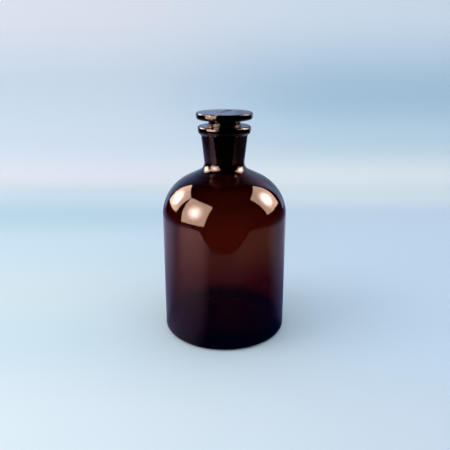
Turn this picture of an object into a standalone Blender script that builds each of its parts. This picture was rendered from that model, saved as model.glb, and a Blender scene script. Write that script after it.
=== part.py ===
"""Narrow-mouth reagent bottle of amber glass with a ground-in glass stopper.

Two pieces of glass: the blown bottle, and the solid pressed stopper whose
tapered plug sits in the ground bore of the neck and lifts straight out.
The bottle stands on z = 0 with its axis on Z.
"""

import math

import bmesh
import bpy
from mathutils import Vector

MM = 0.001

# Body, in millimetres.
BODY_RADIUS = 35.0
HEEL_RADIUS = 3.0
SHOULDER_CORNER_HEIGHT = 84.05   # where the side and the shoulder's slope would meet
SHOULDER_SLOPE = 25.5            # degrees below level
SHOULDER_ROUNDING = 24.25

# Base.
STANDING_RING_WIDTH = 7.0
PUSH_UP_HEIGHT = 1.8
FLOOR_THICKNESS = 5.0            # at the middle, over the push-up
FLOOR_RISE = 1.2                 # of the inner floor, from its edge to its middle
INNER_HEEL_RADIUS = 4.0

# Walls.
BODY_WALL = 2.2
SHOULDER_WALL = 2.4

# Neck and lip.
NECK_HEIGHT = 18.35              # from the shoulder's slope to the lip
NECK_BASE_WALL = 2.5
NECK_TOP_WALL = 3.7
NECK_ROOT_FILLET = 5.2
LIP_OVERHANG = 1.7
LIP_HEIGHT = 4.7
LIP_UNDERSIDE_SLOPE = 21.0       # degrees above level
LIP_UNDERSIDE_ROUNDING = 2.5
LIP_EDGE_RADIUS = 1.3

# Ground joint, size 19/26: 18.8 mm at the wide end, taper 1 in 10 on the diameter.
BORE_MOUTH_RADIUS = 9.4
JOINT_LENGTH = 26.0
JOINT_TAPER = 0.05               # radius lost for each millimetre of depth
JOINT_GAP = 0.3                  # between the plug and the bore
BORE_MOUTH_ROUNDING = 0.7
BORE_ROOT_ROUNDING = 2.0

# Stopper.
PLUG_END_ROUNDING = 1.0
PLUG_STAND_OUT = 0.6             # plug's wide end above the mouth
PLUG_TOP_ROUNDING = 0.4
WAIST_DEPTH = 0.35               # that the waist is set in from the plug's wide end
WAIST_RISE = 1.0                 # from the plug's wide end up to the waist
WAIST_FILLET = 1.1
DISC_CLEARANCE = 3.55            # between the mouth and the disc's underside
DISC_RADIUS = 15.45
DISC_THICKNESS = 3.6
DISC_LOWER_EDGE_RADIUS = 1.3
DISC_UPPER_EDGE_RADIUS = 0.6

# Fineness of the faceted solids.
SEGMENTS_ROUND = 48
STEPS_LARGE_ARC = 9
STEPS_FILLET = 5
STEPS_EDGE = 3
SHARP_ANGLE = math.radians(35.0)
WELD_DISTANCE = 1e-6

AMBER_COLOUR = (0.105, 0.030, 0.012, 1.0)
AMBER_ROUGHNESS = 0.04
GLASS_INDEX = 1.52
GLASS_TRANSMISSION = 0.8


# Sizes that follow from the ones above.
SLOPE_RISE = math.tan(math.radians(SHOULDER_SLOPE))
NECK_TOP_RADIUS = BORE_MOUTH_RADIUS - JOINT_TAPER * LIP_HEIGHT + NECK_TOP_WALL
NECK_BASE_RADIUS = BORE_MOUTH_RADIUS - JOINT_TAPER * (LIP_HEIGHT + NECK_HEIGHT) + NECK_BASE_WALL
NECK_BASE_HEIGHT = SHOULDER_CORNER_HEIGHT + (BODY_RADIUS - NECK_BASE_RADIUS) * SLOPE_RISE
LIP_BASE_HEIGHT = NECK_BASE_HEIGHT + NECK_HEIGHT
MOUTH_HEIGHT = LIP_BASE_HEIGHT + LIP_HEIGHT
RING_INNER_RADIUS = BODY_RADIUS - HEEL_RADIUS - STANDING_RING_WIDTH
FLOOR_EDGE_HEIGHT = PUSH_UP_HEIGHT + FLOOR_THICKNESS - FLOOR_RISE
PLUG_END_HEIGHT = MOUTH_HEIGHT - JOINT_LENGTH
DISC_BASE_HEIGHT = MOUTH_HEIGHT + DISC_CLEARANCE


def bore_radius(height):
    """Radius of the ground bore, or of its cone carried on, at a height."""
    return BORE_MOUTH_RADIUS - JOINT_TAPER * (MOUTH_HEIGHT - height)


def inner_shoulder_height(radius):
    """Height of the shoulder's inner slope at a radius."""
    outer = SHOULDER_CORNER_HEIGHT + (BODY_RADIUS - radius) * SLOPE_RISE
    return outer - SHOULDER_WALL / math.cos(math.radians(SHOULDER_SLOPE))


def bore_root_height():
    """Height where the bore's cone meets the shoulder's inner slope."""
    at_axis = inner_shoulder_height(0.0)
    cone_at_zero = bore_radius(0.0)
    return (at_axis - SLOPE_RISE * cone_at_zero) / (1.0 + SLOPE_RISE * JOINT_TAPER)


def dome(edge_radius, edge_height, rise, steps):
    """Corners of a shallow dome, from its apex on the axis to its edge."""
    sphere = (edge_radius ** 2 + rise ** 2) / (2.0 * rise)
    centre = edge_height + rise - sphere
    spread = math.asin(edge_radius / sphere)
    corners = []
    for step in range(steps + 1):
        angle = spread * step / steps
        corners.append((sphere * math.sin(angle), centre + sphere * math.cos(angle), 0.0, 0))
    return corners


def rounded(corners):
    """Turn corners (radius, height, rounding, steps) into an outline with tangent arcs."""
    outline = []
    for index, (radius, height, rounding, steps) in enumerate(corners):
        corner = Vector((radius, height))
        if rounding == 0.0:
            outline.append(corner)
            continue
        back = (Vector(corners[index - 1][:2]) - corner).normalized()
        ahead = (Vector(corners[index + 1][:2]) - corner).normalized()
        half_angle = back.angle(ahead) / 2.0
        centre = corner + (back + ahead).normalized() * rounding / math.sin(half_angle)
        start = corner + back * rounding / math.tan(half_angle) - centre
        turn = start.angle_signed(corner + ahead * rounding / math.tan(half_angle) - centre)
        first = math.atan2(start.y, start.x)
        for step in range(steps + 1):
            angle = first - turn * step / steps
            outline.append(centre + rounding * Vector((math.cos(angle), math.sin(angle))))
    return outline


def turned_mesh(name, outline, base_height):
    """Closed mesh of an outline turned about Z, its origin on the axis at base_height."""
    bm = bmesh.new()
    points = [bm.verts.new((p.x * MM, 0.0, (p.y - base_height) * MM)) for p in outline]
    edges = [bm.edges.new(pair) for pair in zip(points, points[1:])]
    bmesh.ops.spin(bm, geom=points + edges, cent=(0.0, 0.0, 0.0), axis=(0.0, 0.0, 1.0),
                   angle=math.tau, steps=SEGMENTS_ROUND, use_merge=True)
    bmesh.ops.remove_doubles(bm, verts=bm.verts, dist=WELD_DISTANCE)
    bmesh.ops.recalc_face_normals(bm, faces=bm.faces)
    mesh = bpy.data.meshes.new(name)
    bm.to_mesh(mesh)
    bm.free()
    mesh.shade_smooth()
    mesh.set_sharp_from_angle(angle=SHARP_ANGLE)
    return mesh


def add_piece(name, outline, base_height, material):
    """Add a turned piece to the scene, standing on the axis at base_height."""
    mesh = turned_mesh(name, outline, base_height)
    mesh.materials.append(material)
    piece = bpy.data.objects.new(name, mesh)
    piece.location = (0.0, 0.0, base_height * MM)
    bpy.context.scene.collection.objects.link(piece)
    return piece


def amber_glass(name):
    """Brown glass of one piece."""
    material = bpy.data.materials.new(name)
    material.use_nodes = True
    shader = material.node_tree.nodes["Principled BSDF"]
    shader.inputs["Base Color"].default_value = AMBER_COLOUR
    shader.inputs["Roughness"].default_value = AMBER_ROUGHNESS
    shader.inputs["Metallic"].default_value = 0.0
    shader.inputs["IOR"].default_value = GLASS_INDEX
    shader.inputs["Transmission Weight"].default_value = GLASS_TRANSMISSION
    return material


def bottle_outside():
    """Corners of the outside, from the middle of the base up to the mouth."""
    lip_radius = NECK_TOP_RADIUS + LIP_OVERHANG
    lip_rise = LIP_OVERHANG * math.tan(math.radians(LIP_UNDERSIDE_SLOPE))
    return dome(RING_INNER_RADIUS, 0.0, PUSH_UP_HEIGHT, STEPS_FILLET) + [
        (BODY_RADIUS, 0.0, HEEL_RADIUS, STEPS_FILLET),
        (BODY_RADIUS, SHOULDER_CORNER_HEIGHT, SHOULDER_ROUNDING, STEPS_LARGE_ARC),
        (NECK_BASE_RADIUS, NECK_BASE_HEIGHT, NECK_ROOT_FILLET, STEPS_FILLET),
        (NECK_TOP_RADIUS, LIP_BASE_HEIGHT, 0.0, 0),
        (lip_radius, LIP_BASE_HEIGHT + lip_rise, LIP_UNDERSIDE_ROUNDING, STEPS_FILLET),
        (lip_radius, MOUTH_HEIGHT, LIP_EDGE_RADIUS, STEPS_EDGE),
    ]


def bottle_inside():
    """Corners of the inside, from the mouth down to the middle of the floor."""
    root_height = bore_root_height()
    inner_radius = BODY_RADIUS - BODY_WALL
    floor = dome(RING_INNER_RADIUS, FLOOR_EDGE_HEIGHT, FLOOR_RISE, STEPS_FILLET)
    return [
        (BORE_MOUTH_RADIUS, MOUTH_HEIGHT, BORE_MOUTH_ROUNDING, STEPS_EDGE),
        (bore_radius(root_height), root_height, BORE_ROOT_ROUNDING, STEPS_EDGE),
        (inner_radius, inner_shoulder_height(inner_radius), SHOULDER_ROUNDING - SHOULDER_WALL,
         STEPS_LARGE_ARC),
        (inner_radius, FLOOR_EDGE_HEIGHT, INNER_HEEL_RADIUS, STEPS_FILLET),
    ] + floor[::-1]


def stopper_corners():
    """Corners of the stopper, from the middle of the plug's end up to the disc's top."""
    plug_top = MOUTH_HEIGHT + PLUG_STAND_OUT
    plug_top_radius = bore_radius(plug_top) - JOINT_GAP
    waist_radius = plug_top_radius - WAIST_DEPTH
    disc_top = DISC_BASE_HEIGHT + DISC_THICKNESS
    return [
        (0.0, PLUG_END_HEIGHT, 0.0, 0),
        (bore_radius(PLUG_END_HEIGHT) - JOINT_GAP, PLUG_END_HEIGHT, PLUG_END_ROUNDING, STEPS_EDGE),
        (plug_top_radius, plug_top, PLUG_TOP_ROUNDING, STEPS_EDGE),
        (waist_radius, plug_top + WAIST_RISE, 0.0, 0),
        (waist_radius, DISC_BASE_HEIGHT, WAIST_FILLET, STEPS_EDGE),
        (DISC_RADIUS, DISC_BASE_HEIGHT, DISC_LOWER_EDGE_RADIUS, STEPS_FILLET),
        (DISC_RADIUS, disc_top, DISC_UPPER_EDGE_RADIUS, STEPS_EDGE),
        (0.0, disc_top, 0.0, 0),
    ]


def make_bottle():
    """One-piece bottle: body, shoulder, neck and lip, open down to its floor."""
    outline = rounded(bottle_outside() + bottle_inside())
    return add_piece("bottle", outline, 0.0, amber_glass("bottle_glass"))


def make_stopper():
    """Solid stopper: tapered plug, waist and flat disc, lifting out along Z."""
    outline = rounded(stopper_corners())
    return add_piece("stopper", outline, MOUTH_HEIGHT, amber_glass("stopper_glass"))


def main():
    """Clear the scene and model both pieces."""
    for old in list(bpy.data.objects):
        bpy.data.objects.remove(old, do_unlink=True)
    make_bottle()
    make_stopper()


main()
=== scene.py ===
"""Amber reagent bottle with a ground stopper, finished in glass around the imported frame."""

import logging
import math
from collections.abc import Sequence
from dataclasses import dataclass, field
from enum import Enum, IntEnum

import bmesh
import bpy
from mathutils import Matrix, Vector
from mathutils.geometry import intersect_point_line


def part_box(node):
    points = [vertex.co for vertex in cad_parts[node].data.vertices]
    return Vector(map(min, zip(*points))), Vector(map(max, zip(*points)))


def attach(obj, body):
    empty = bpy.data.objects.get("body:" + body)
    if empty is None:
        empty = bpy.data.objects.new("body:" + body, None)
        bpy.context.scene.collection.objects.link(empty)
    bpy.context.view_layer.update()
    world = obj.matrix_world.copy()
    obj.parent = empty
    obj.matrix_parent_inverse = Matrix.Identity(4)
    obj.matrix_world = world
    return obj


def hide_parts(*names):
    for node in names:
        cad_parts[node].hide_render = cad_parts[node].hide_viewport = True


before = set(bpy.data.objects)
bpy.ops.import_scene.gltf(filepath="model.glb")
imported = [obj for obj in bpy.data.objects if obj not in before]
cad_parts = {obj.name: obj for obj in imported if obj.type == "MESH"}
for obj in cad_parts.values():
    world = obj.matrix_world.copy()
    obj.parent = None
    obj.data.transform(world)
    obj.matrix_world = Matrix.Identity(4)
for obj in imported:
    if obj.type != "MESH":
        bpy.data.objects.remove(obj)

LOG = logging.getLogger("reagent_bottle")

MM = 0.001
SEGMENTS_ROUND = 256
MERGE_DISTANCE = 0.00001
CREASE_ANGLE = math.radians(35.0)
GROUND_LAYER = "ground"
RAMP_HEIGHT = 0.13
VIEW_TRANSFORM = "Standard"

Colour = tuple[float, float, float]
DARK: Colour = (0.0, 0.0, 0.0)


class Arc(IntEnum):
    """How finely an arc is drawn; the value is the number of straight pieces in it."""

    STEP = 6
    MOUTH = 8
    RIM = 10
    UNDERSIDE = 12
    EDGE = 14
    DOME = 16
    ROOT = 18
    SHOULDER = 32


class Surface(Enum):
    """How a stretch of glass was left; the value is its share of grinding, past 1 if it is bruised."""

    FIRE_POLISHED = 0.0
    GROUND = 1.0
    BRUISED = 2.5


@dataclass(frozen=True)
class Corner:
    """One corner of a turned outline, in metres.

    Args:
        radius: distance from the turning axis.
        height: height above the table.
        rounding: radius of the arc that replaces the corner, 0 for a crease.
        steps: straight pieces in that arc.
        surface: finish from this corner on.
    """

    radius: float
    height: float
    rounding: float = 0.0
    steps: int = 0
    surface: Surface = Surface.FIRE_POLISHED

    @property
    def point(self) -> Vector:
        """The corner in the plane of X and Z."""
        return Vector((self.radius, 0.0, self.height))


def placed(name: str, data: bpy.types.ID) -> bpy.types.Object:
    """Puts a mesh, a light or the camera into the scene.

    Args:
        name: name of the new object.
        data: what it shows.

    Returns:
        The object, at the origin.
    """
    item = bpy.data.objects.new(name, data)
    bpy.context.scene.collection.objects.link(item)
    return item


class HalfSection:
    """A wire outline in the plane of X and Z that is drawn with a pen and then turned."""

    def __init__(self, start: Vector, surface: Surface = Surface.FIRE_POLISHED) -> None:
        """Puts the pen down.

        Args:
            start: first point of the outline.
            surface: finish of the first point.
        """
        self.mesh = bmesh.new()
        self.layer = self.mesh.verts.layers.float.new(GROUND_LAYER)
        self.tip = self.mesh.verts.new(start)
        self.tip[self.layer] = surface.value

    def line_to(self, point: Vector, surface: Surface = Surface.FIRE_POLISHED) -> None:
        """Draws a straight edge.

        Args:
            point: where the edge ends.
            surface: finish of that end.
        """
        grown = bmesh.ops.extrude_vert_indiv(self.mesh, verts=[self.tip])
        self.tip = grown["verts"][0]
        self.tip.co = point
        self.tip[self.layer] = surface.value

    def arc(self, centre: Vector, angle: float, steps: int) -> None:
        """Draws an arc.

        Args:
            centre: centre of the arc.
            angle: turn in radians, positive from +X towards +Z.
            steps: straight pieces in the arc.
        """
        grown = bmesh.ops.spin(
            self.mesh, geom=[self.tip], cent=centre, axis=(0.0, -1.0, 0.0), angle=angle,
            steps=steps, use_merge=False, use_normal_flip=False, use_duplicate=False,
        )
        self.tip = grown["geom_last"][0]

    def corner(self, before: Vector, here: Corner, after: Vector) -> None:
        """Draws up to a corner and round it.

        Args:
            before: the corner that comes before.
            here: the corner to draw.
            after: the corner that comes after.
        """
        if here.rounding == 0.0:
            self.line_to(here.point, here.surface)
            return
        back = (before - here.point).normalized()
        ahead = (after - here.point).normalized()
        half_angle = back.angle(ahead) / 2.0
        centre = here.point + (back + ahead).normalized() * here.rounding / math.sin(half_angle)
        reach = here.rounding / math.tan(half_angle)
        side = 1.0 if back.cross(ahead).y > 0.0 else -1.0
        self.line_to(here.point + back * reach, here.surface)
        self.arc(centre, side * (math.pi - 2.0 * half_angle), here.steps)

    def corners(self, before: Vector, row: Sequence[Corner], after: Vector) -> None:
        """Draws a row of corners.

        Args:
            before: point that comes before the first corner.
            row: the corners in drawing order.
            after: point that comes after the last corner.
        """
        points = [before, *(corner.point for corner in row), after]
        for index, here in enumerate(row):
            self.corner(points[index], here, points[index + 2])

    def line_in_steps(self, point: Vector, steps: int) -> None:
        """Draws a straight edge in several pieces.

        Args:
            point: where the edge ends.
            steps: number of pieces.
        """
        start = self.tip.co.copy()
        for step in range(1, steps + 1):
            self.line_to(start.lerp(point, step / steps))

    def turn(self, name: str, mark: "ShearMark | None" = None) -> bpy.types.Object:
        """Turns the outline once round the Z axis and closes its poles.

        Args:
            name: name of the piece.
            mark: a shear mark to press into its top.

        Returns:
            The new piece, at the origin.
        """
        bmesh.ops.spin(
            self.mesh, geom=[*self.mesh.verts, *self.mesh.edges], cent=(0.0, 0.0, 0.0),
            axis=(0.0, 0.0, 1.0), angle=math.tau, steps=SEGMENTS_ROUND, use_merge=True,
            use_normal_flip=False, use_duplicate=False,
        )
        bmesh.ops.remove_doubles(self.mesh, verts=self.mesh.verts[:], dist=MERGE_DISTANCE)
        if mark is not None:
            mark.press(self.mesh, self.layer)
        bmesh.ops.recalc_face_normals(self.mesh, faces=self.mesh.faces[:])
        shape = bpy.data.meshes.new(name)
        self.mesh.to_mesh(shape)
        self.mesh.free()
        shape.shade_smooth()
        shape.set_sharp_from_angle(angle=CREASE_ANGLE)
        return placed(name, shape)


@dataclass(frozen=True)
class ShearMark:
    """The scar left by the shears on the disc: a shallow fold that runs out in a fine seam.

    Args:
        top: height of the surface that it is pressed into.
        fold: the two ends of the fold in the plane of X and Y.
        fold_widths: half width of the fold at its two ends.
        fold_depth: depth of the fold.
        seam: the two ends of the seam in the plane of X and Y.
        seam_width: half width of the seam.
        seam_depth: depth of the seam.
        seam_drop: how far the seam runs down the disc's side.
    """

    top: float
    fold: tuple[Vector, Vector] = (Vector((-1.6, -2.4)) * MM, Vector((2.5, 9.0)) * MM)
    fold_widths: tuple[float, float] = (0.5 * MM, 1.5 * MM)
    fold_depth: float = 0.5 * MM
    seam: tuple[Vector, Vector] = (Vector((-2.6, -1.5)) * MM, Vector((-4.6, -15.6)) * MM)
    seam_width: float = 0.45 * MM
    seam_depth: float = 0.14 * MM
    seam_drop: float = 2.0 * MM

    def away(self, point: Vector, ends: tuple[Vector, Vector]) -> tuple[float, float]:
        """Distance of a point from a stretch of line, seen from above.

        Args:
            point: the point.
            ends: the two ends of the line.

        Returns:
            The distance, and the share of the line at which it is measured.
        """
        flat = point.to_2d()
        share = min(max(intersect_point_line(flat, *ends)[1], 0.0), 1.0)
        return (flat - ends[0].lerp(ends[1], share)).length, share

    def press(self, mesh: bmesh.types.BMesh, layer: bmesh.types.BMLayerItem) -> None:
        """Presses the mark into the mesh.

        Args:
            mesh: the turned stopper.
            layer: share of grinding, high in the bruised seam.
        """
        for vert in mesh.verts:
            below = self.top - vert.co.z
            if below > self.seam_drop:
                continue
            seam = max(0.0, 1.0 - self.away(vert.co, self.seam)[0] / self.seam_width)
            vert[layer] = max(vert[layer], Surface.BRUISED.value * seam)
            if below < MERGE_DISTANCE:
                reach, share = self.away(vert.co, self.fold)
                width = self.fold_widths[0] + (self.fold_widths[1] - self.fold_widths[0]) * share
                pressed = self.fold_depth * math.exp(-((reach / width) ** 2))
                vert.co.z -= max(pressed, self.seam_depth * seam)


def sphere_cap(edge_radius: float, rise: float) -> tuple[float, float]:
    """Radius and half angle of the sphere that a shallow dome is cut from.

    Args:
        edge_radius: radius of the dome's rim.
        rise: height of its middle above the rim.

    Returns:
        The sphere's radius and the angle from the axis to the rim.
    """
    radius = (edge_radius**2 + rise**2) / (2.0 * rise)
    return radius, math.asin(edge_radius / radius)


class Nodes:
    """Short ways to put nodes together in the tree of a material, a light or the world."""

    def __init__(self, tree: bpy.types.NodeTree) -> None:
        """Takes the tree that the nodes go in."""
        self.tree = tree

    def node(self, kind: str, **settings: object) -> bpy.types.Node:
        """Adds a node.

        Args:
            kind: the node's type name.
            **settings: its properties.

        Returns:
            The new node.
        """
        made = self.tree.nodes.new(kind)
        for key, value in settings.items():
            setattr(made, key, value)
        return made

    def link(self, source: bpy.types.NodeSocket, target: bpy.types.NodeSocket) -> None:
        """Joins an output to an input."""
        self.tree.links.new(source, target)

    def object_point(self, stretch: Sequence[float] = (1.0, 1.0, 1.0)) -> bpy.types.NodeSocket:
        """Object coordinates, scaled.

        Args:
            stretch: how much finer a pattern gets along each axis.

        Returns:
            The vector output.
        """
        place = self.node("ShaderNodeTexCoord")
        mapping = self.node("ShaderNodeMapping")
        mapping.inputs["Scale"].default_value = stretch
        self.link(place.outputs["Object"], mapping.inputs["Vector"])
        return mapping.outputs["Vector"]

    def axes(self, point: bpy.types.NodeSocket) -> bpy.types.bpy_prop_collection:
        """Takes a point apart.

        Args:
            point: the point.

        Returns:
            Its coordinates, as outputs named X, Y and Z.
        """
        apart = self.node("ShaderNodeSeparateXYZ")
        self.link(point, apart.inputs["Vector"])
        return apart.outputs

    def ranged(
        self, value: bpy.types.NodeSocket, low: float, high: float, to_low: float, to_high: float
    ) -> bpy.types.NodeSocket:
        """Maps low to high onto another range, smoothly and clamped.

        Args:
            value: the number to map.
            low: lower end of what comes in.
            high: upper end of what comes in.
            to_low: what the lower end becomes.
            to_high: what the upper end becomes.

        Returns:
            The mapped number.
        """
        made = self.node("ShaderNodeMapRange", interpolation_type="SMOOTHSTEP")
        for socket, number in zip(made.inputs[1:5], (low, high, to_low, to_high)):
            socket.default_value = number
        self.link(value, made.inputs["Value"])
        return made.outputs["Result"]

    def ramp(
        self, value: bpy.types.NodeSocket, stops: Sequence[tuple[float, Colour]]
    ) -> bpy.types.NodeSocket:
        """A colour that changes with a number between 0 and 1.

        Args:
            value: the number.
            stops: number and colour at each stop.

        Returns:
            The colour.
        """
        made = self.node("ShaderNodeValToRGB")
        elements = made.color_ramp.elements
        while len(elements) < len(stops):
            elements.new(1.0)
        for element, (at, colour) in zip(elements, stops):
            element.position = at
            element.color = (*colour, 1.0)
        self.link(value, made.inputs["Fac"])
        return made.outputs["Color"]

    def maths(
        self, operation: str, first: bpy.types.NodeSocket, second: bpy.types.NodeSocket | float
    ) -> bpy.types.NodeSocket:
        """One sum.

        Args:
            operation: Blender's name of the operation.
            first: first number.
            second: second number or output.

        Returns:
            The result.
        """
        made = self.node("ShaderNodeMath", operation=operation)
        self.link(first, made.inputs[0])
        if isinstance(second, float):
            made.inputs[1].default_value = second
        else:
            self.link(second, made.inputs[1])
        return made.outputs["Value"]

    def vectors(
        self,
        operation: str,
        first: bpy.types.NodeSocket,
        second: bpy.types.NodeSocket | Sequence[float] = (0.0, 0.0, 0.0),
    ) -> bpy.types.bpy_prop_collection:
        """One sum with vectors.

        Args:
            operation: Blender's name of the operation.
            first: first vector.
            second: second vector or output, where the operation has one.

        Returns:
            The outputs: Vector, and Value for a length or a product.
        """
        made = self.node("ShaderNodeVectorMath", operation=operation)
        self.link(first, made.inputs[0])
        if isinstance(second, bpy.types.NodeSocket):
            self.link(second, made.inputs[1])
        else:
            made.inputs[1].default_value = second
        return made.outputs

    def fade(self, share: bpy.types.NodeSocket, first: Colour, second: Colour) -> bpy.types.NodeSocket:
        """A light that changes from one radiance to another.

        Args:
            share: 0 for the first, 1 for the second.
            first: the first radiance.
            second: the second radiance.

        Returns:
            The radiance, as a vector.
        """
        made = self.node("ShaderNodeMix", data_type="VECTOR")
        made.inputs[4].default_value = first
        made.inputs[5].default_value = second
        self.link(share, made.inputs[0])
        return made.outputs[1]

    def mix(
        self,
        share: bpy.types.NodeSocket | float,
        first: bpy.types.NodeSocket,
        second: bpy.types.NodeSocket,
        kind: str = "MIX",
    ) -> bpy.types.NodeSocket:
        """Two colours mixed or multiplied.

        Args:
            share: how much of the second is taken.
            first: the first colour.
            second: the second colour.
            kind: Blender's name of the way they are joined.

        Returns:
            The colour.
        """
        made = self.node("ShaderNodeMix", data_type="RGBA", blend_type=kind)
        if isinstance(share, float):
            made.inputs[0].default_value = share
        else:
            self.link(share, made.inputs[0])
        self.link(first, made.inputs[6])
        self.link(second, made.inputs[7])
        return made.outputs[2]

    def either(
        self,
        share: bpy.types.NodeSocket,
        first: bpy.types.NodeSocket,
        second: bpy.types.NodeSocket,
    ) -> bpy.types.NodeSocket:
        """Two shaders mixed.

        Args:
            share: how much of the second is taken.
            first: the first shader.
            second: the second shader.

        Returns:
            The shader.
        """
        made = self.node("ShaderNodeMixShader")
        for source, target in zip((share, first, second), made.inputs):
            self.link(source, target)
        return made.outputs["Shader"]


class Shader(Nodes):
    """The nodes of one new material."""

    def __init__(self, name: str) -> None:
        """Starts an empty node tree.

        Args:
            name: name of the material.
        """
        self.material = bpy.data.materials.new(name)
        self.material.use_nodes = True
        super().__init__(self.material.node_tree)
        self.tree.nodes.clear()
        self.output = self.node("ShaderNodeOutputMaterial")

    def glow(
        self, colour: bpy.types.NodeSocket, strength: bpy.types.NodeSocket
    ) -> bpy.types.Material:
        """Finishes the material as plain light.

        Args:
            colour: colour of the light.
            strength: its strength.

        Returns:
            The material.
        """
        emission = self.node("ShaderNodeEmission")
        self.link(colour, emission.inputs["Color"])
        self.link(strength, emission.inputs["Strength"])
        self.link(emission.outputs["Emission"], self.output.inputs["Surface"])
        return self.material


@dataclass(frozen=True)
class Grain:
    """A noise, and the measure that it is turned into.

    Args:
        scale: waves per metre.
        detail: octaves.
        span: the stretch of the noise that counts.
        measure: what the ends of that stretch become.
    """

    scale: float
    detail: float
    span: tuple[float, float] = (0.0, 1.0)
    measure: tuple[float, float] = (0.0, 1.0)

    def noise(self, nodes: Nodes, point: bpy.types.NodeSocket) -> bpy.types.NodeSocket:
        """The plain noise.

        Args:
            nodes: where its node goes.
            point: where it is read.

        Returns:
            A number between 0 and 1.
        """
        made = nodes.node("ShaderNodeTexNoise")
        made.inputs["Scale"].default_value = self.scale
        made.inputs["Detail"].default_value = self.detail
        nodes.link(point, made.inputs["Vector"])
        return made.outputs["Fac"]

    def measured(self, nodes: Nodes, point: bpy.types.NodeSocket) -> bpy.types.NodeSocket:
        """The noise as a measure.

        Args:
            nodes: where its nodes go.
            point: where it is read.

        Returns:
            The measure.
        """
        return nodes.ranged(self.noise(nodes, point), *self.span, *self.measure)


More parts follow.
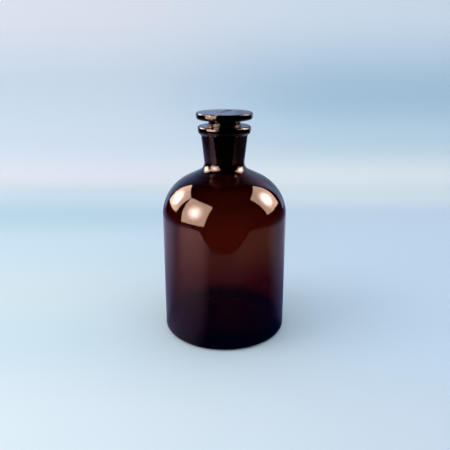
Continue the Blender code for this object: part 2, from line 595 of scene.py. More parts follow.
@dataclass(frozen=True)
class AmberGlass:
    """Solid brown glass that darkens with depth, with a painted shade at the foot and in the shoulder,
    polished outside and matt where it was ground.

    Args:
        name: name of the material.
        tint: colour of the absorption; 1 less the tint, times the density, is taken off a metre.
        density: strength of the absorption per metre.
        ior: refractive index.
        polish: roughness of the fire-polished surface.
        matt: roughness of the ground surface.
        draw: share of the drawn waviness along Z against across it.
        clear_if_bruised: share of the light that still passes where the glass is bruised white.
        streaks: the streaks of paler and browner glass.
        streak_tints: colours of the browner and the paler streaks.
        smudges: roughness of the wiped smudges.
        scuffs: roughness of the scuffed foot.
        scuff_height: height up to which the foot is scuffed.
        grinding: unevenness of the ground surface's roughness.
        waves: the waviness of blown glass.
        wave_height: how high its waves stand.
        scratches: the scratches left by the grinding.
        scratch_height: how high they stand.
        shades: height in metres and what is let through there: a painted shade, darker at the foot and
            in the shoulder.
    """

    name: str
    tint: Colour = (0.64, 0.24, 0.12)
    density: float = 1500.0
    ior: float = 1.52
    polish: float = 0.012
    matt: float = 0.42
    draw: float = 0.25
    clear_if_bruised: float = 0.5
    streaks: Grain = Grain(55.0, 3.0)
    streak_tints: tuple[Colour, Colour] = ((0.93, 0.86, 0.80), (1.0, 0.98, 0.96))
    smudges: Grain = Grain(140.0, 4.0, (0.52, 0.78), (0.0, 0.035))
    scuffs: Grain = Grain(900.0, 3.0, (0.45, 0.65), (0.05, 0.3))
    scuff_height: float = 1.2 * MM
    grinding: Grain = Grain(2500.0, 2.0, (0.3, 0.7), (-0.06, 0.06))
    waves: Grain = Grain(45.0, 1.0)
    wave_height: float = 0.06 * MM
    scratches: Grain = Grain(4500.0, 2.0)
    scratch_height: float = 0.03 * MM
    shades: tuple[tuple[float, float], ...] = (
        (0.0, 0.18),
        (0.007, 0.24),
        (0.014, 0.68),
        (0.030, 0.98),
        (0.050, 1.0),
        (0.066, 0.97),
        (0.075, 0.84),
        (0.081, 0.50),
        (0.088, 0.36),
        (0.096, 0.6),
    )

    def make(self) -> bpy.types.Material:
        """Builds the material.

        Returns:
            The glass.
        """
        shader = Shader(self.name)
        glass = shader.node("ShaderNodeBsdfPrincipled")
        glass.inputs["IOR"].default_value = self.ior
        ground = shader.node("ShaderNodeAttribute", attribute_name=GROUND_LAYER).outputs["Fac"]
        clear = shader.ranged(ground, 0.0, Surface.BRUISED.value, 1.0, self.clear_if_bruised)
        shader.link(clear, glass.inputs["Transmission Weight"])
        shader.link(self.colour(shader), glass.inputs["Base Color"])
        shader.link(self.roughness(shader, ground), glass.inputs["Roughness"])
        shader.link(self.relief(shader, ground), glass.inputs["Normal"])
        shader.link(glass.outputs["BSDF"], shader.output.inputs["Surface"])
        depth = shader.node("ShaderNodeVolumeAbsorption")
        depth.inputs["Color"].default_value = (*self.tint, 1.0)
        depth.inputs["Density"].default_value = self.density
        shader.link(depth.outputs["Volume"], shader.output.inputs["Volume"])
        return shader.material

    def drawn_point(self, shader: Shader) -> bpy.types.NodeSocket:
        """Object coordinates for a pattern that is drawn out along Z."""
        return shader.object_point((1.0, 1.0, self.draw))

    def colour(self, shader: Shader) -> bpy.types.NodeSocket:
        """Faint streaks of paler and browner glass, times a painted shade that is darker at the foot
        and in the shoulder.

        Args:
            shader: the material being made.

        Returns:
            The colour.
        """
        # painted shade: the base colour darkens by height, most at the foot and in the shoulder
        height = shader.maths("DIVIDE", shader.axes(shader.object_point())["Z"], RAMP_HEIGHT)
        shades = [(at / RAMP_HEIGHT, (grey, grey, grey)) for at, grey in self.shades]
        streaks = self.streaks.noise(shader, self.drawn_point(shader))
        tints = shader.ramp(streaks, list(enumerate(self.streak_tints)))
        return shader.mix(1.0, tints, shader.ramp(height, shades), "MULTIPLY")

    def roughness(
        self, shader: Shader, ground: bpy.types.NodeSocket
    ) -> bpy.types.NodeSocket:
        """Polish with wiped smudges, a scuffed foot, and the matt of the grinding.

        Args:
            shader: the material being made.
            ground: share of grinding.

        Returns:
            The roughness.
        """
        point = shader.object_point()
        foot = shader.ranged(shader.axes(point)["Z"], 0.0, self.scuff_height, 1.0, 0.0)
        worn = shader.maths("MULTIPLY", foot, self.scuffs.measured(shader, point))
        uneven = shader.maths("ADD", self.grinding.measured(shader, point), self.matt)
        matt = shader.maths("MULTIPLY", uneven, ground)
        wiped = shader.maths("ADD", self.smudges.measured(shader, point), worn)
        return shader.maths("ADD", shader.maths("ADD", wiped, matt), self.polish)

    def relief(
        self, shader: Shader, ground: bpy.types.NodeSocket
    ) -> bpy.types.NodeSocket:
        """The slow waviness of blown glass, and the fine grain of the grinding.

        Args:
            shader: the material being made.
            ground: share of grinding.

        Returns:
            The bumped normal.
        """
        waves = shader.node("ShaderNodeBump")
        waves.inputs["Strength"].default_value = 1.0
        waves.inputs["Distance"].default_value = self.wave_height
        shader.link(self.waves.noise(shader, self.drawn_point(shader)), waves.inputs["Height"])
        scratched = shader.node("ShaderNodeBump")
        scratched.inputs["Distance"].default_value = self.scratch_height
        shader.link(ground, scratched.inputs["Strength"])
        shader.link(self.scratches.noise(shader, shader.object_point()), scratched.inputs["Height"])
        shader.link(waves.outputs["Normal"], scratched.inputs["Normal"])
        return scratched.outputs["Normal"]


@dataclass(frozen=True)
class GroundJoint:
    """The ground taper that the bottle and its stopper share, in metres.

    Args:
        mouth_radius: radius of the bore at the mouth.
        length: length of the ground stretch; not used.
        taper: how much the radius falls per metre of depth.
        gap: space left between the two ground faces.
    """

    mouth_radius: float = 9.4 * MM
    length: float = 26.0 * MM
    taper: float = 0.05
    gap: float = 0.3 * MM

    def bore_radius(self, depth: float) -> float:
        """Radius of the bore at a depth under the mouth."""
        return self.mouth_radius - self.taper * depth

    def plug_radius(self, depth: float) -> float:
        """Radius of the plug at a depth under the mouth."""
        return self.bore_radius(depth) - self.gap


@dataclass
class Bottle:
    """The blown bottle: body, sloping shoulder, conical neck and lip, hollow inside; in metres."""

    joint: GroundJoint
    node: str = "bottle"
    body: str = "bottle"
    slot: str = "bottle_glass"
    name: str = "amber_bottle"
    heel_radius: float = 3.0 * MM
    shoulder_drop: float = 34.618 * MM
    shoulder_slope: float = math.radians(25.5)
    shoulder_rounding: float = 24.25 * MM
    standing_ring_width: float = 7.0 * MM
    push_up_height: float = 1.8 * MM
    floor_thickness: float = 5.0 * MM
    floor_rise: float = 1.2 * MM
    inner_heel_radius: float = 4.0 * MM
    body_wall: float = 2.2 * MM
    shoulder_wall: float = 2.4 * MM
    neck_height: float = 18.35 * MM
    neck_base_wall: float = 2.5 * MM
    neck_top_wall: float = 3.7 * MM
    neck_root_fillet: float = 5.2 * MM
    lip_overhang: float = 1.7 * MM
    lip_height: float = 4.7 * MM
    lip_underside_slope: float = math.radians(21.0)
    lip_underside_rounding: float = 2.5 * MM
    lip_edge_radius: float = 0.9 * MM
    bore_mouth_rounding: float = 0.7 * MM
    bore_root_rounding: float = 2.0 * MM
    radius: float = field(init=False)
    mouth_height: float = field(init=False)

    def __post_init__(self) -> None:
        """Takes the overall sizes from the frame."""
        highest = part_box(self.node)[1]
        self.radius = highest[0]
        self.mouth_height = highest[2]

    @property
    def lip_base_height(self) -> float:
        """Height where the neck meets the lip."""
        return self.mouth_height - self.lip_height

    @property
    def neck_base_height(self) -> float:
        """Height where the shoulder meets the neck."""
        return self.lip_base_height - self.neck_height

    @property
    def neck_top_radius(self) -> float:
        """Outer radius of the neck under the lip."""
        return self.joint.bore_radius(self.lip_height) + self.neck_top_wall

    @property
    def neck_base_radius(self) -> float:
        """Outer radius of the neck at the shoulder."""
        return self.joint.bore_radius(self.lip_height + self.neck_height) + self.neck_base_wall

    @property
    def shoulder_corner_height(self) -> float:
        """Height where the straight side and the shoulder's slope would meet."""
        return self.mouth_height - self.shoulder_drop

    @property
    def floor_edge_height(self) -> float:
        """Height of the inner floor at its rim."""
        return self.push_up_height + self.floor_thickness - self.floor_rise

    def inner_shoulder_height(self, radius: float) -> float:
        """Height of the shoulder's inner slope.

        Args:
            radius: distance from the axis.

        Returns:
            The height at that radius.
        """
        wall = self.shoulder_wall / math.cos(self.shoulder_slope)
        rise = (self.radius - radius) * math.tan(self.shoulder_slope)
        return self.shoulder_corner_height + rise - wall

    def bore_root(self) -> Vector:
        """Where the bore's taper meets the shoulder's inner slope.

        Returns:
            That point in the plane of X and Z.
        """
        slope = math.tan(self.shoulder_slope)
        joint = self.joint
        flat = self.inner_shoulder_height(joint.mouth_radius - joint.taper * self.mouth_height)
        height = flat / (1.0 + slope * joint.taper)
        return Vector((joint.bore_radius(self.mouth_height - height), 0.0, height))

    def outside(self) -> list[Corner]:
        """The outer corners.

        Returns:
            The corners, from the standing ring up to the lip.
        """
        lip_radius = self.neck_top_radius + self.lip_overhang
        underside = self.lip_base_height + self.lip_overhang * math.tan(self.lip_underside_slope)
        return [
            Corner(self.radius, 0.0, self.heel_radius, Arc.EDGE),
            Corner(
                self.radius, self.shoulder_corner_height, self.shoulder_rounding, Arc.SHOULDER
            ),
            Corner(self.neck_base_radius, self.neck_base_height, self.neck_root_fillet, Arc.ROOT),
            Corner(self.neck_top_radius, self.lip_base_height),
            Corner(lip_radius, underside, self.lip_underside_rounding, Arc.UNDERSIDE),
            Corner(lip_radius, self.mouth_height, self.lip_edge_radius, Arc.EDGE),
        ]

    def inside(self) -> list[Corner]:
        """The inner corners.

        Returns:
            The corners, from the mouth down to the floor.
        """
        inner_radius = self.radius - self.body_wall
        root = self.bore_root()
        rounding = self.shoulder_rounding - self.shoulder_wall
        shoulder_height = self.inner_shoulder_height(inner_radius)
        mouth_radius = self.joint.mouth_radius
        return [
            Corner(mouth_radius, self.mouth_height, self.bore_mouth_rounding, Arc.MOUTH),
            Corner(root.x, root.z, self.bore_root_rounding, Arc.MOUTH, Surface.GROUND),
            Corner(inner_radius, shoulder_height, rounding, Arc.SHOULDER),
            Corner(inner_radius, self.floor_edge_height, self.inner_heel_radius, Arc.EDGE),
        ]

    def build(self) -> bpy.types.Object:
        """Draws the wall's half section and turns it.

        Returns:
            The finished bottle, riding on its body.
        """
        ring_radius = self.radius - self.standing_ring_width - self.heel_radius
        push_up, push_up_angle = sphere_cap(ring_radius, self.push_up_height)
        floor_radius = self.radius - self.body_wall - self.inner_heel_radius
        floor, floor_angle = sphere_cap(floor_radius, self.floor_rise)
        pen = HalfSection(Vector((0.0, 0.0, self.push_up_height)))
        pen.arc(Vector((0.0, 0.0, self.push_up_height - push_up)), -push_up_angle, Arc.DOME)
        floor_rim = Vector((floor_radius, 0.0, self.floor_edge_height))
        pen.corners(pen.tip.co.copy(), [*self.outside(), *self.inside()], floor_rim)
        floor_centre = Vector((0.0, 0.0, self.floor_edge_height + self.floor_rise - floor))
        pen.line_to(floor_rim)
        pen.arc(floor_centre, floor_angle, Arc.DOME)
        piece = pen.turn(self.name)
        piece.data.materials.append(AmberGlass("amber_bottle_glass").make())
        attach(piece, self.body)
        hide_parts(self.node)
        return piece


@dataclass
class Stopper:
    """The solid stopper: ground plug, short waist and flat disc with its shear mark; in metres."""

    joint: GroundJoint
    mouth_height: float
    node: str = "stopper"
    body: str = "stopper"
    slot: str = "stopper_glass"
    name: str = "ground_stopper"
    plug_end_rounding: float = 1.0 * MM
    stand_out: float = 0.6 * MM
    plug_top_rounding: float = 0.4 * MM
    ground_depth: float = 0.8 * MM
    waist_depth: float = 0.35 * MM
    waist_rise: float = 0.4 * MM
    waist_rounding: float = 0.15 * MM
    waist_fillet: float = 1.6 * MM
    disc_thickness: float = 3.6 * MM
    disc_lower_edge_radius: float = 1.3 * MM
    disc_upper_edge_radius: float = 0.6 * MM
    top_rings: int = 48
    disc_radius: float = field(init=False)
    disc_top: float = field(init=False)
    plug_end: float = field(init=False)

    def __post_init__(self) -> None:
        """Takes the overall sizes from the frame."""
        lowest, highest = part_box(self.node)
        self.disc_radius = highest[0]
        self.disc_top = highest[2]
        self.plug_end = lowest[2]

    def outline(self) -> list[Corner]:
        """The stopper's corners.

        Returns:
            The corners, from the plug's end up to the disc's top.
        """
        joint = self.joint
        plug_top = self.mouth_height + self.stand_out
        plug_top_radius = joint.plug_radius(-self.stand_out)
        waist = plug_top_radius - self.waist_depth
        disc_base = self.disc_top - self.disc_thickness
        end_radius = joint.plug_radius(self.mouth_height - self.plug_end)
        matt = Surface.GROUND
        grinding_end = self.mouth_height - self.ground_depth
        return [
            Corner(end_radius, self.plug_end, self.plug_end_rounding, Arc.RIM, matt),
            Corner(joint.plug_radius(self.ground_depth), grinding_end, surface=matt),
            Corner(joint.plug_radius(0.0), self.mouth_height),
            Corner(plug_top_radius, plug_top, self.plug_top_rounding, Arc.STEP),
            Corner(waist, plug_top + self.waist_rise, self.waist_rounding, Arc.STEP),
            Corner(waist, disc_base, self.waist_fillet, Arc.UNDERSIDE),
            Corner(self.disc_radius, disc_base, self.disc_lower_edge_radius, Arc.EDGE),
            Corner(self.disc_radius, self.disc_top, self.disc_upper_edge_radius, Arc.RIM),
        ]

    def build(self) -> bpy.types.Object:
        """Draws the half section and turns it.

        Returns:
            The finished stopper, riding on its body.
        """
        end = Vector((0.0, 0.0, self.plug_end))
        top = Vector((0.0, 0.0, self.disc_top))
        pen = HalfSection(end)
        pen.corners(end, self.outline(), top)
        pen.line_in_steps(top, self.top_rings)
        piece = pen.turn(self.name, ShearMark(self.disc_top))
        piece.data.materials.append(AmberGlass("amber_stopper_glass").make())
        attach(piece, self.body)
        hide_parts(self.node)
        return piece


def compass(azimuth: float) -> Vector:
    """Level unit vector at an azimuth in degrees, from the front towards the right."""
    angle = math.radians(azimuth)
    return Vector((math.sin(angle), -math.cos(angle), 0.0))


def aim(lamp: bpy.types.Object, target: Vector, towards: Vector, distance: float) -> None:
    """Hangs a lamp so that it faces a point.

    Args:
        lamp: the lamp.
        target: the point that it faces.
        towards: unit vector from that point to the lamp.
        distance: how far away it hangs.
    """
    facing = towards.to_track_quat("Z", "Y").to_matrix().to_4x4()
    lamp.matrix_world = Matrix.Translation(target + towards * distance) @ facing


@dataclass(frozen=True)
class Softbox:
    """A rectangular softbox, warm and brighter at its middle, that shows in reflections only.

    Args:
        name: name of the light.
        azimuth: its direction in degrees, from the front towards the right.
        elevation: its height over the target in degrees.
        width: width of the panel.
        height: height of the panel.
        distance: distance from the target.
        edge_radiance: how bright its edge is.
        hot_share: how many times brighter its middle is.
        hot_at: the middle's place, as shares of the width and the height.
        hot_reach: share of the panel at which the middle has faded.
        edge_tint: colour of the edge.
        hot_tint: colour of the middle.
    """

    name: str
    azimuth: float
    elevation: float
    width: float
    height: float
    distance: float = 0.7
    edge_radiance: float = 9.0
    hot_share: float = 3.0
    hot_at: tuple[float, float] = (0.5, 0.5)
    hot_reach: float = 0.4
    edge_tint: Colour = (1.0, 0.62, 0.46)
    hot_tint: Colour = (1.0, 0.93, 0.83)

    def build(self, target: Vector) -> bpy.types.Object:
        """Hangs the light.

        Args:
            target: the point that it faces.

        Returns:
            The light's object.
        """
        light = bpy.data.lights.new(self.name, "AREA")
        light.shape = "RECTANGLE"
        light.size = self.width
        light.size_y = self.height
        light.energy = math.pi * self.width * self.height * self.edge_radiance
        self.add_hot_middle(light)
        lamp = placed(self.name, light)
        elevation = math.radians(self.elevation)
        upright = Vector((0.0, 0.0, math.sin(elevation)))
        aim(lamp, target, compass(self.azimuth) * math.cos(elevation) + upright, self.distance)
        lamp.visible_camera = False
        lamp.visible_diffuse = False
        lamp.visible_transmission = False
        return lamp

    def add_hot_middle(self, light: bpy.types.Light) -> None:
        """Makes the middle of the panel brighter than its edges.

        Args:
            light: the light to give nodes.
        """
        light.use_nodes = True
        nodes = Nodes(light.node_tree)
        emission = next(node for node in nodes.tree.nodes if node.type == "EMISSION")
        place = nodes.node("ShaderNodeNewGeometry").outputs["Parametric"]
        away = nodes.vectors("DISTANCE", place, (*self.hot_at, 0.0))["Value"]
        heat = nodes.ranged(away, 0.0, self.hot_reach, 1.0, 0.0)
        tint = nodes.ramp(heat, [(0.0, self.edge_tint), (1.0, self.hot_tint)])
        nodes.link(tint, emission.inputs["Color"])
        extra = nodes.maths("MULTIPLY", heat, self.hot_share - 1.0)
        nodes.link(nodes.maths("ADD", extra, 1.0), emission.inputs["Strength"])


@dataclass(frozen=True)
class KeyLight:
    """A large soft light from the left front that shades the paper.

    Args:
        size: width and height of its panel.
        energy: its power in watts.
        colour: its colour.
        direction: where it hangs, seen from the target.
        distance: distance from the target.
    """

    size: float = 0.55
    energy: float = 2.4
    colour: Colour = (1.0, 0.94, 0.87)
    direction: tuple[float, float, float] = (-0.72, -0.22, 0.62)
    distance: float = 0.9

    def build(self, target: Vector) -> bpy.types.Object:
        """Hangs the light.

        Args:
            target: the point that it faces.

        Returns:
            The light's object.
        """
        light = bpy.data.lights.new("key", "AREA")
        light.shape = "SQUARE"
        light.size = self.size
        light.energy = self.energy
        light.color = self.colour
        lamp = placed("key", light)
        aim(lamp, target, Vector(self.direction).normalized(), self.distance)
        lamp.visible_camera = False
        lamp.visible_glossy = False
        lamp.visible_transmission = False
        return lamp


@dataclass(frozen=True)
class Beam:
    """A soft beam of light across the table card, running out from the bottle's foot.

    Args:
        azimuth: its direction, in degrees from the front towards the right.
        half_width: angle in degrees at which it has faded.
        near: distance from the axis up to which it has its near colour.
        far: distance from which it has its far colour.
        near_colour: its radiance close to the bottle, lower there as a painted shadow of the bottle on
            the table.
        far_colour: its radiance further out.
    """

    azimuth: float
    half_width: float
    near: float
    far: float
    near_colour: Colour
    far_colour: Colour

    def shine(
        self, shader: Shader, heading: bpy.types.NodeSocket, distance: bpy.types.NodeSocket
    ) -> bpy.types.NodeSocket:
        """The beam's light at a point of the card.

        Args:
            shader: the card's material.
            heading: unit vector from the axis to the point.
            distance: distance of the point from the axis.

        Returns:
            The radiance.
        """
        aligned = shader.vectors("DOT_PRODUCT", heading, compass(self.azimuth))["Value"]
        edge = math.cos(math.radians(self.half_width))
        share = shader.ranged(aligned, edge, 1.0, 0.0, 1.0)
        # dimmer close to the foot: painted shadow of the bottle on the table
        outward = shader.ranged(distance, self.near, self.far, 0.0, 1.0)
        faded = shader.node("ShaderNodeVectorMath", operation="SCALE")
        shader.link(shader.fade(outward, self.near_colour, self.far_colour), faded.inputs[0])
        shader.link(share, faded.inputs["Scale"])
        return faded.outputs["Vector"]


@dataclass(frozen=True)
class TableGlow:
    """What the table looks like in the glass: soft beams of light on a dark blue ground.

    Args:
        ground: radiance between the beams.
        beams: the beams.
        far_from: distance from the axis at which the table starts to dim.
        far_to: distance at which it has dimmed.
        far_share: what is left of it there.
        left_fade: the stretch of X over which it fades to the left.
        right_fade: the stretch of X over which it fades to the right.
        side_share: what is left of it at the sides.
    """

    ground: Colour = (0.006, 0.010, 0.080)
    beams: tuple[Beam, ...] = (
        Beam(-57.0, 37.0, 0.05, 0.27, (0.24, 0.16, 0.25), (1.75, 0.93, 0.84)),
        Beam(-122.0, 45.0, 0.05, 0.20, (0.20, 0.21, 0.33), (0.55, 0.45, 0.62)),
        Beam(124.0, 50.0, 0.05, 0.18, (0.07, 0.09, 0.16), (0.34, 0.31, 0.42)),
        Beam(60.0, 52.0, 0.11, 0.21, DARK, (0.45, 0.22, 0.08)),
        Beam(2.0, 45.0, 0.09, 0.17, DARK, (0.16, 0.13, 0.08)),
        Beam(180.0, 50.0, 0.03, 0.12, (0.16, 0.22, 0.30), (0.38, 0.46, 0.62)),
    )
    far_from: float = 0.235
    far_to: float = 0.29
    far_share: Colour = (0.42, 0.44, 0.58)
    left_fade: tuple[float, float] = (-0.36, -0.29)
    right_fade: tuple[float, float] = (0.22, 0.30)
    side_share: float = 0.25

    def make(self) -> bpy.types.Material:
        """Builds the material.

        Returns:
            The light that the table card gives.
        """
        shader = Shader("table_glow")
        point = shader.object_point()
        heading = shader.vectors("NORMALIZE", point)["Vector"]
        distance = shader.vectors("LENGTH", point)["Value"]
        total = self.ground
        for beam in self.beams:
            light = beam.shine(shader, heading, distance)
            total = shader.vectors("ADD", light, total)["Vector"]
        far = shader.ranged(distance, self.far_from, self.far_to, 0.0, 1.0)
        share = shader.fade(far, (1.0, 1.0, 1.0), self.far_share)
        across = shader.axes(point)["X"]
        left = shader.ranged(across, *self.left_fade, self.side_share, 1.0)
        right = shader.ranged(across, *self.right_fade, 1.0, self.side_share)
        radiance = shader.vectors("MULTIPLY", total, share)["Vector"]
        return shader.glow(radiance, shader.maths("MULTIPLY", left, right))


@dataclass(frozen=True)
class WallGlow:
    """What the back wall looks like in the glass: pale below, dark towards its top.

    Args:
        stops: height in metres, and the wall's radiance there on its left and its right half.
        halves: the stretch of X over which the left half becomes the right half.
        glare: the stretch of X over which the right end gets brighter.
        glare_share: how many times brighter it gets.
    """

    stops: tuple[tuple[float, Colour, Colour], ...] = (
        (0.0, (0.42, 0.50, 0.68), (0.33, 0.40, 0.56)),
        (0.13, (0.44, 0.53, 0.76), (0.30, 0.38, 0.55)),
        (0.20, (0.33, 0.43, 0.68), (0.24, 0.34, 0.50)),
        (0.28, (0.27, 0.34, 0.59), (0.42, 0.43, 0.70)),
        (0.37, (0.19, 0.25, 0.48), (0.48, 0.41, 0.64)),
        (0.47, (0.12, 0.15, 0.33), (0.36, 0.28, 0.43)),
        (0.58, (0.06, 0.08, 0.19), (0.22, 0.15, 0.24)),
        (0.69, (0.02, 0.04, 0.09), (0.10, 0.07, 0.11)),
        (0.82, DARK, (0.01, 0.01, 0.01)),
    )
    halves: tuple[float, float] = (0.004, 0.022)
    glare: tuple[float, float] = (0.25, 0.34)
    glare_share: float = 1.6

    def make(self) -> bpy.types.Material:
        """Builds the material.

        Returns:
            The light that the wall card gives.
        """
        shader = Shader("wall_glow")
        place = shader.axes(shader.object_point())
        left = shader.ramp(place["Z"], [(row[0], row[1]) for row in self.stops])
        right = shader.ramp(place["Z"], [(row[0], row[2]) for row in self.stops])
        share = shader.ranged(place["X"], *self.halves, 0.0, 1.0)
        glare = shader.ranged(place["X"], *self.glare, 1.0, self.glare_share)
        return shader.glow(shader.mix(share, left, right), glare)


@dataclass(frozen=True)
class StudioPaper:
    """Pale blue matt paper with painted light and shade: darker and bluer to the right, lighter and
    darker in bands along the sheet.

    Args:
        stops: distance along the sheet from the bottle's axis, back along the table and then up
            the wall, and the paper's painted colour there, light and shade included, on its left and
            its right half.
        halves: the stretch of X over which the left half becomes the right half.
    """

    stops: tuple[tuple[float, Colour, Colour], ...] = (
        (-0.10, (0.70, 0.79, 0.85), (0.57, 0.67, 0.78)),
        (-0.02, (0.60, 0.73, 0.80), (0.54, 0.67, 0.81)),
        (0.04, (0.63, 0.73, 0.78), (0.55, 0.68, 0.82)),
        (0.14, (0.57, 0.71, 0.80), (0.55, 0.67, 0.80)),
        (0.22, (0.48, 0.64, 0.73), (0.56, 0.67, 0.79)),
        (0.30, (0.60, 0.71, 0.79), (0.70, 0.77, 0.81)),
        (0.37, (0.73, 0.74, 0.80), (0.75, 0.79, 0.82)),
        (0.47, (0.61, 0.69, 0.79), (0.50, 0.64, 0.74)),
        (0.54, (0.60, 0.68, 0.77), (0.41, 0.56, 0.69)),
        (0.66, (0.74, 0.73, 0.79), (0.68, 0.74, 0.82)),
    )
    halves: tuple[float, float] = (-0.16, 0.16)

    def make(self) -> bpy.types.Material:
        """Builds the material.

        Returns:
            The paper.
        """
        shader = Shader("studio_paper")
        place = shader.axes(shader.object_point())
        start = self.stops[0][0]
        length = self.stops[-1][0] - start
        along = shader.maths("SUBTRACT", shader.maths("ADD", place["Y"], place["Z"]), start)
        share = shader.maths("DIVIDE", along, length)
        # painted light and shade: the ramps make the paper lighter and darker along the sheet and
        # darker to the right
        sides = []
        for side in (1, 2):
            stops = [((row[0] - start) / length, row[side]) for row in self.stops]
            ramp = shader.ramp(share, stops)
            ramp.node.color_ramp.interpolation = "EASE"
            sides.append(ramp)
        across = shader.ranged(place["X"], *self.halves, 0.0, 1.0)
        matt = shader.node("ShaderNodeBsdfDiffuse")
        shader.link(shader.mix(across, *sides), matt.inputs["Color"])
        shader.link(matt.outputs["BSDF"], shader.output.inputs["Surface"])
        return shader.material


def flat_sheet(left: float, right: float, near: float, far: float) -> bmesh.types.BMesh:
    """Cuts a level rectangle.

    Args:
        left: its lowest X.
        right: its highest X.
        near: its lowest Y.
        far: its highest Y.

    Returns:
        The rectangle.
    """
    pen = bmesh.new()
    bmesh.ops.create_grid(pen, x_segments=1, y_segments=1, size=0.5)
    bmesh.ops.scale(pen, vec=(right - left, far - near, 1.0), verts=pen.verts[:])
    middle = ((left + right) / 2.0, (near + far) / 2.0, 0.0)
    bmesh.ops.translate(pen, vec=middle, verts=pen.verts[:])
    return pen


def set_on_stage(
    pen: bmesh.types.BMesh, name: str, material: bpy.types.Material
) -> bpy.types.Object:
    """Makes a drawn mesh a piece of the stage.

    Args:
        pen: the drawn mesh, which is used up.
        name: name of the piece.
        material: what it is made of.

    Returns:
        The piece, at the origin.
    """
    shape = bpy.data.meshes.new(name)
    pen.to_mesh(shape)
    pen.free()
    shape.shade_smooth()
    shape.materials.append(material)
    piece = placed(name, shape)
    return piece


@dataclass(frozen=True)
class ReflectionCard:
    """A flat card that lights the glass and nothing else: it shows in reflections only.

    Args:
        name: name of the card.
        left: its lowest X.
        right: its highest X.
        near: its lowest Y, or its foot if it stands.
        far: its highest Y, or its top if it stands.
        upright_at: the Y at which it stands, or nothing if it lies on the table.
    """

    name: str
    left: float
    right: float
    near: float
    far: float
    upright_at: float | None = None

    def build(self, material: bpy.types.Material) -> bpy.types.Object:
        """Cuts the card and stands it up if it is a wall.

        Args:
            material: what it shines with.

        Returns:
            The card.
        """
        pen = flat_sheet(self.left, self.right, self.near, self.far)
        if self.upright_at is not None:
            upright = Matrix.Rotation(math.pi / 2.0, 3, "X")
            bmesh.ops.rotate(pen, cent=(0.0, 0.0, 0.0), matrix=upright, verts=pen.verts[:])
            bmesh.ops.translate(pen, vec=(0.0, self.upright_at, 0.0), verts=pen.verts[:])
        card = set_on_stage(pen, self.name, material)
        card.visible_camera = False
        card.visible_diffuse = False
        card.visible_transmission = False
        card.visible_shadow = False
        return card


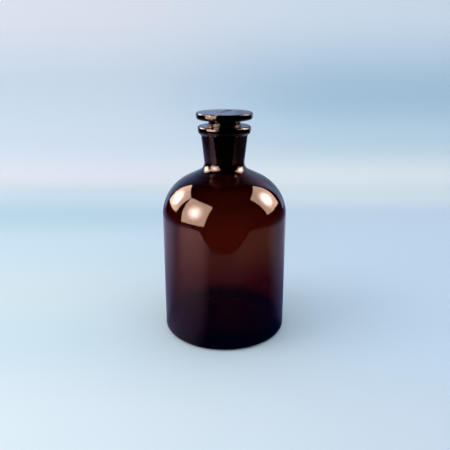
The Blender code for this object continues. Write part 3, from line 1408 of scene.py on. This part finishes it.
@dataclass
class Studio:
    """The pale sheet that the bottle stands on, the dark room round it and the lights.

    Args:
        target: the point that the lights face.
        left_edge: X of the left end of the stretch that shows in the glass.
        right_edge: X of its right end.
        front_edge: Y of its front end.
        cove_start: Y at which the sheet starts to curve up.
        cove_radius: radius of that curve.
        wall_top: height of the sheet's back.
        reach: how far the paper goes on past that stretch.
        cove_steps: straight pieces in the curve.
        table_reach: how far the table card reaches to each side.
        card_top: height of the wall card.
        room_light: what lights the paper.
        backdrop: what is seen past the paper.
        dark_room: what the glass mirrors past the cards.
    """

    target: Vector
    left_edge: float = -0.41
    right_edge: float = 0.46
    front_edge: float = -0.183
    cove_start: float = 0.33
    cove_radius: float = 0.12
    wall_top: float = 0.6
    reach: float = 3.0
    cove_steps: int = 24
    table_reach: float = 0.5
    card_top: float = 0.85
    room_light: Colour = (0.93, 0.97, 1.0)
    backdrop: Colour = (0.60, 0.71, 0.82)
    dark_room: Colour = (0.003, 0.003, 0.004)
    boxes: tuple[Softbox, ...] = (
        Softbox("softbox_far_left", -115.0, 25.0, 0.48, 0.51, hot_share=4.2, hot_at=(0.46, 0.43)),
        Softbox("softbox_left", -58.0, 21.0, 0.66, 0.71),
        Softbox(
            "softbox_right", 103.8, 30.0, 0.56, 0.60,
            edge_radiance=7.6, hot_share=4.6, hot_at=(0.5, 0.47),
        ),
    )

    @property
    def wall_at(self) -> float:
        """Y of the sheet's upright back."""
        return self.cove_start + self.cove_radius

    def curved_sheet(self, left: float, right: float, front: float) -> bmesh.types.BMesh:
        """Cuts a stretch of the paper sheet: table, cove and upright back.

        Args:
            left: its lowest X.
            right: its highest X.
            front: its lowest Y.

        Returns:
            The stretch.
        """
        pen = bmesh.new()
        start = pen.verts.new((left, front, 0.0))
        grown = bmesh.ops.extrude_vert_indiv(pen, verts=[start])
        tip = grown["verts"][0]
        tip.co = (left, self.cove_start, 0.0)
        grown = bmesh.ops.spin(
            pen, geom=[tip], cent=(left, self.cove_start, self.cove_radius), axis=(1.0, 0.0, 0.0),
            angle=math.pi / 2.0, steps=self.cove_steps, use_merge=False, use_normal_flip=False,
            use_duplicate=False,
        )
        grown = bmesh.ops.extrude_vert_indiv(pen, verts=[grown["geom_last"][0]])
        grown["verts"][0].co = (left, self.wall_at, self.wall_top)
        wide = bmesh.ops.extrude_edge_only(pen, edges=pen.edges[:])
        moved = [item for item in wide["geom"] if isinstance(item, bmesh.types.BMVert)]
        bmesh.ops.translate(pen, verts=moved, vec=(right - left, 0.0, 0.0))
        return pen

    def lay_paper(self) -> None:
        """Lays the sheet: the stretch that shows in the glass, and the paper round it."""
        paper = StudioPaper().make()
        left, right, reach = self.left_edge, self.right_edge, self.reach
        stretches = {
            "paper_sheet": self.curved_sheet(left, right, self.front_edge),
            "paper_left": self.curved_sheet(-reach, left, -reach),
            "paper_right": self.curved_sheet(right, reach, -reach),
            "paper_apron": flat_sheet(left, right, -reach, self.front_edge),
        }
        for name, pen in stretches.items():
            stretch = set_on_stage(pen, name, paper)
            stretch.visible_glossy = False

    def stand_cards(self) -> None:
        """Sets the two cards that the glass mirrors, on the table and against the wall."""
        table = ReflectionCard(
            "table_card", -self.table_reach, self.table_reach, self.front_edge, self.wall_at
        )
        table.build(TableGlow().make())
        wall = ReflectionCard(
            "wall_card", self.left_edge, self.right_edge, 0.0, self.card_top, self.wall_at
        )
        wall.build(WallGlow().make())

    def light_room(self) -> None:
        """A pale light for the paper, a backdrop to look at and a dark room for reflections."""
        world = bpy.data.worlds.new("studio_room")
        bpy.context.scene.world = world
        world.use_nodes = True
        nodes = Nodes(world.node_tree)
        nodes.tree.nodes.clear()
        shades = []
        for colour in (self.room_light, self.backdrop, self.dark_room):
            shade = nodes.node("ShaderNodeBackground")
            shade.inputs["Color"].default_value = (*colour, 1.0)
            shades.append(shade.outputs["Background"])
        path = nodes.node("ShaderNodeLightPath").outputs
        through = path["Is Transmission Ray"]
        seen = nodes.maths("MAXIMUM", path["Is Camera Ray"], through)
        mirrored = nodes.maths("SUBTRACT", path["Is Glossy Ray"], through)
        mirrored.node.use_clamp = True
        light, backdrop, dark = shades
        room = nodes.either(mirrored, nodes.either(seen, light, backdrop), dark)
        output = nodes.node("ShaderNodeOutputWorld")
        nodes.link(room, output.inputs["Surface"])

    def build(self) -> None:
        """Sets out the sheet, the cards, the room and the lights."""
        self.lay_paper()
        self.stand_cards()
        self.light_room()
        KeyLight().build(self.target)
        for box in self.boxes:
            box.build(self.target)


@dataclass(frozen=True)
class CameraStand:
    """The camera, in body radii of the bottle in front of and above its foot.

    Args:
        body_radius: the bottle's radius.
        right: how far the camera stands to the right, in body radii.
        back: how far in front of the bottle, in body radii.
        up: how high, in body radii.
        tilt_down: angle at which it looks down.
        lens: focal length in millimetres.
        sensor_width: width of its sensor in millimetres.
    """

    body_radius: float
    right: float = 0.01
    back: float = 8.5
    up: float = 4.535
    tilt_down: float = math.radians(18.04)
    lens: float = 43.5
    sensor_width: float = 36.0

    def build(self) -> None:
        """Makes the camera the scene's own."""
        view = bpy.data.cameras.new("camera")
        view.lens = self.lens
        view.sensor_width = self.sensor_width
        camera = placed("camera", view)
        camera.location = Vector((self.right, -self.back, self.up)) * self.body_radius
        camera.rotation_euler = (math.pi / 2.0 - self.tilt_down, 0.0, 0.0)
        bpy.context.scene.camera = camera


def main() -> None:
    """Builds the bottle, its stopper and the studio."""
    logging.basicConfig(level=logging.INFO, format="%(message)s")
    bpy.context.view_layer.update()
    joint = GroundJoint()
    bottle = Bottle(joint)
    stopper = Stopper(joint, bottle.mouth_height)
    for part in (bottle, stopper):
        piece = part.build()
        LOG.info("%s: %d faces, rides on %s", piece.name, len(piece.data.polygons), part.body)
    target = Vector((0.0, 0.0, bottle.shoulder_corner_height))
    Studio(target).build()
    CameraStand(bottle.radius).build()
    bpy.context.scene.view_settings.view_transform = VIEW_TRANSFORM


if __name__ == "__main__":
    main()
